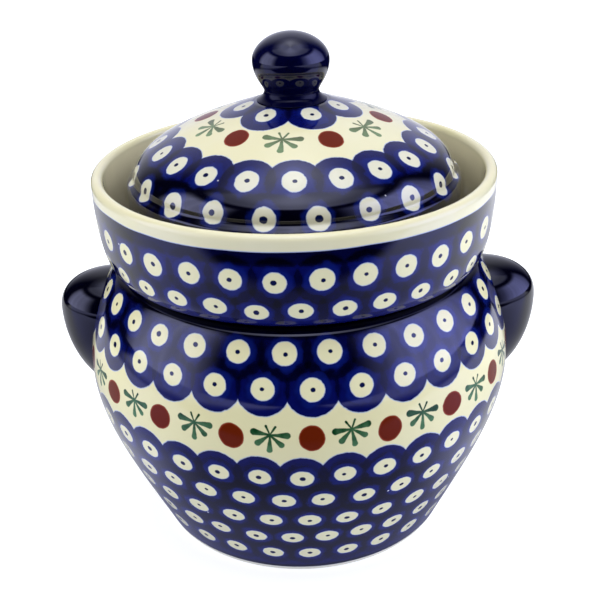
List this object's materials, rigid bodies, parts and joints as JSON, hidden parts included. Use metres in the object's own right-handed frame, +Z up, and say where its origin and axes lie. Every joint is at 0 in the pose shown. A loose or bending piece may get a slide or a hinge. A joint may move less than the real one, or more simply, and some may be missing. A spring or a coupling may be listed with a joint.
{
  "type": "fermentation crock",
  "caption": "Bellied glazed stoneware crock with ear handles, a water-trough collar round its mouth, a domed skirted lid with a ball knob, and half-moon weights inside.",
  "frame": {"origin": "middle of the foot, on the surface that the crock stands on", "axes": "+Z up along the axis of the pot, X through the two ear handles, -Y towards the viewer in the picture"},
  "size_m": [0.2502, 0.2202, 0.2566],
  "materials": {
    "decorated_glaze": "glossy cobalt and cream stamped glaze",
    "collar_glaze": "glossy cobalt stamped glaze with a cream lip",
    "cobalt_glaze": "glossy dark cobalt glaze",
    "lid_glaze": "glossy cobalt and cream stamped glaze",
    "weight_stoneware": "clear-glazed cream stoneware"
  },
  "bodies": {
    "crock": {"crock_body": "decorated_glaze", "water_collar": "collar_glaze", "left_handle": "cobalt_glaze", "right_handle": "cobalt_glaze"},
    "lid": {"lid": "lid_glaze", "lid_knob": "cobalt_glaze"},
    "weight_left": {"weight_half_left": "weight_stoneware"},
    "weight_right": {"weight_half_right": "weight_stoneware"}
  },
  "joints": [
    {"name": "lid_lift", "type": "slide", "parent": "crock", "child": "lid", "axis": [0, 0, 1], "range_m": [0, 0.12]},
    {"name": "weight_left_lift", "type": "slide", "parent": "crock", "child": "weight_left", "axis": [0, 0, 1], "range_m": [0, 0.108]},
    {"name": "weight_right_lift", "type": "slide", "parent": "crock", "child": "weight_right", "axis": [0, 0, 1], "range_m": [0, 0.108]}
  ]
}
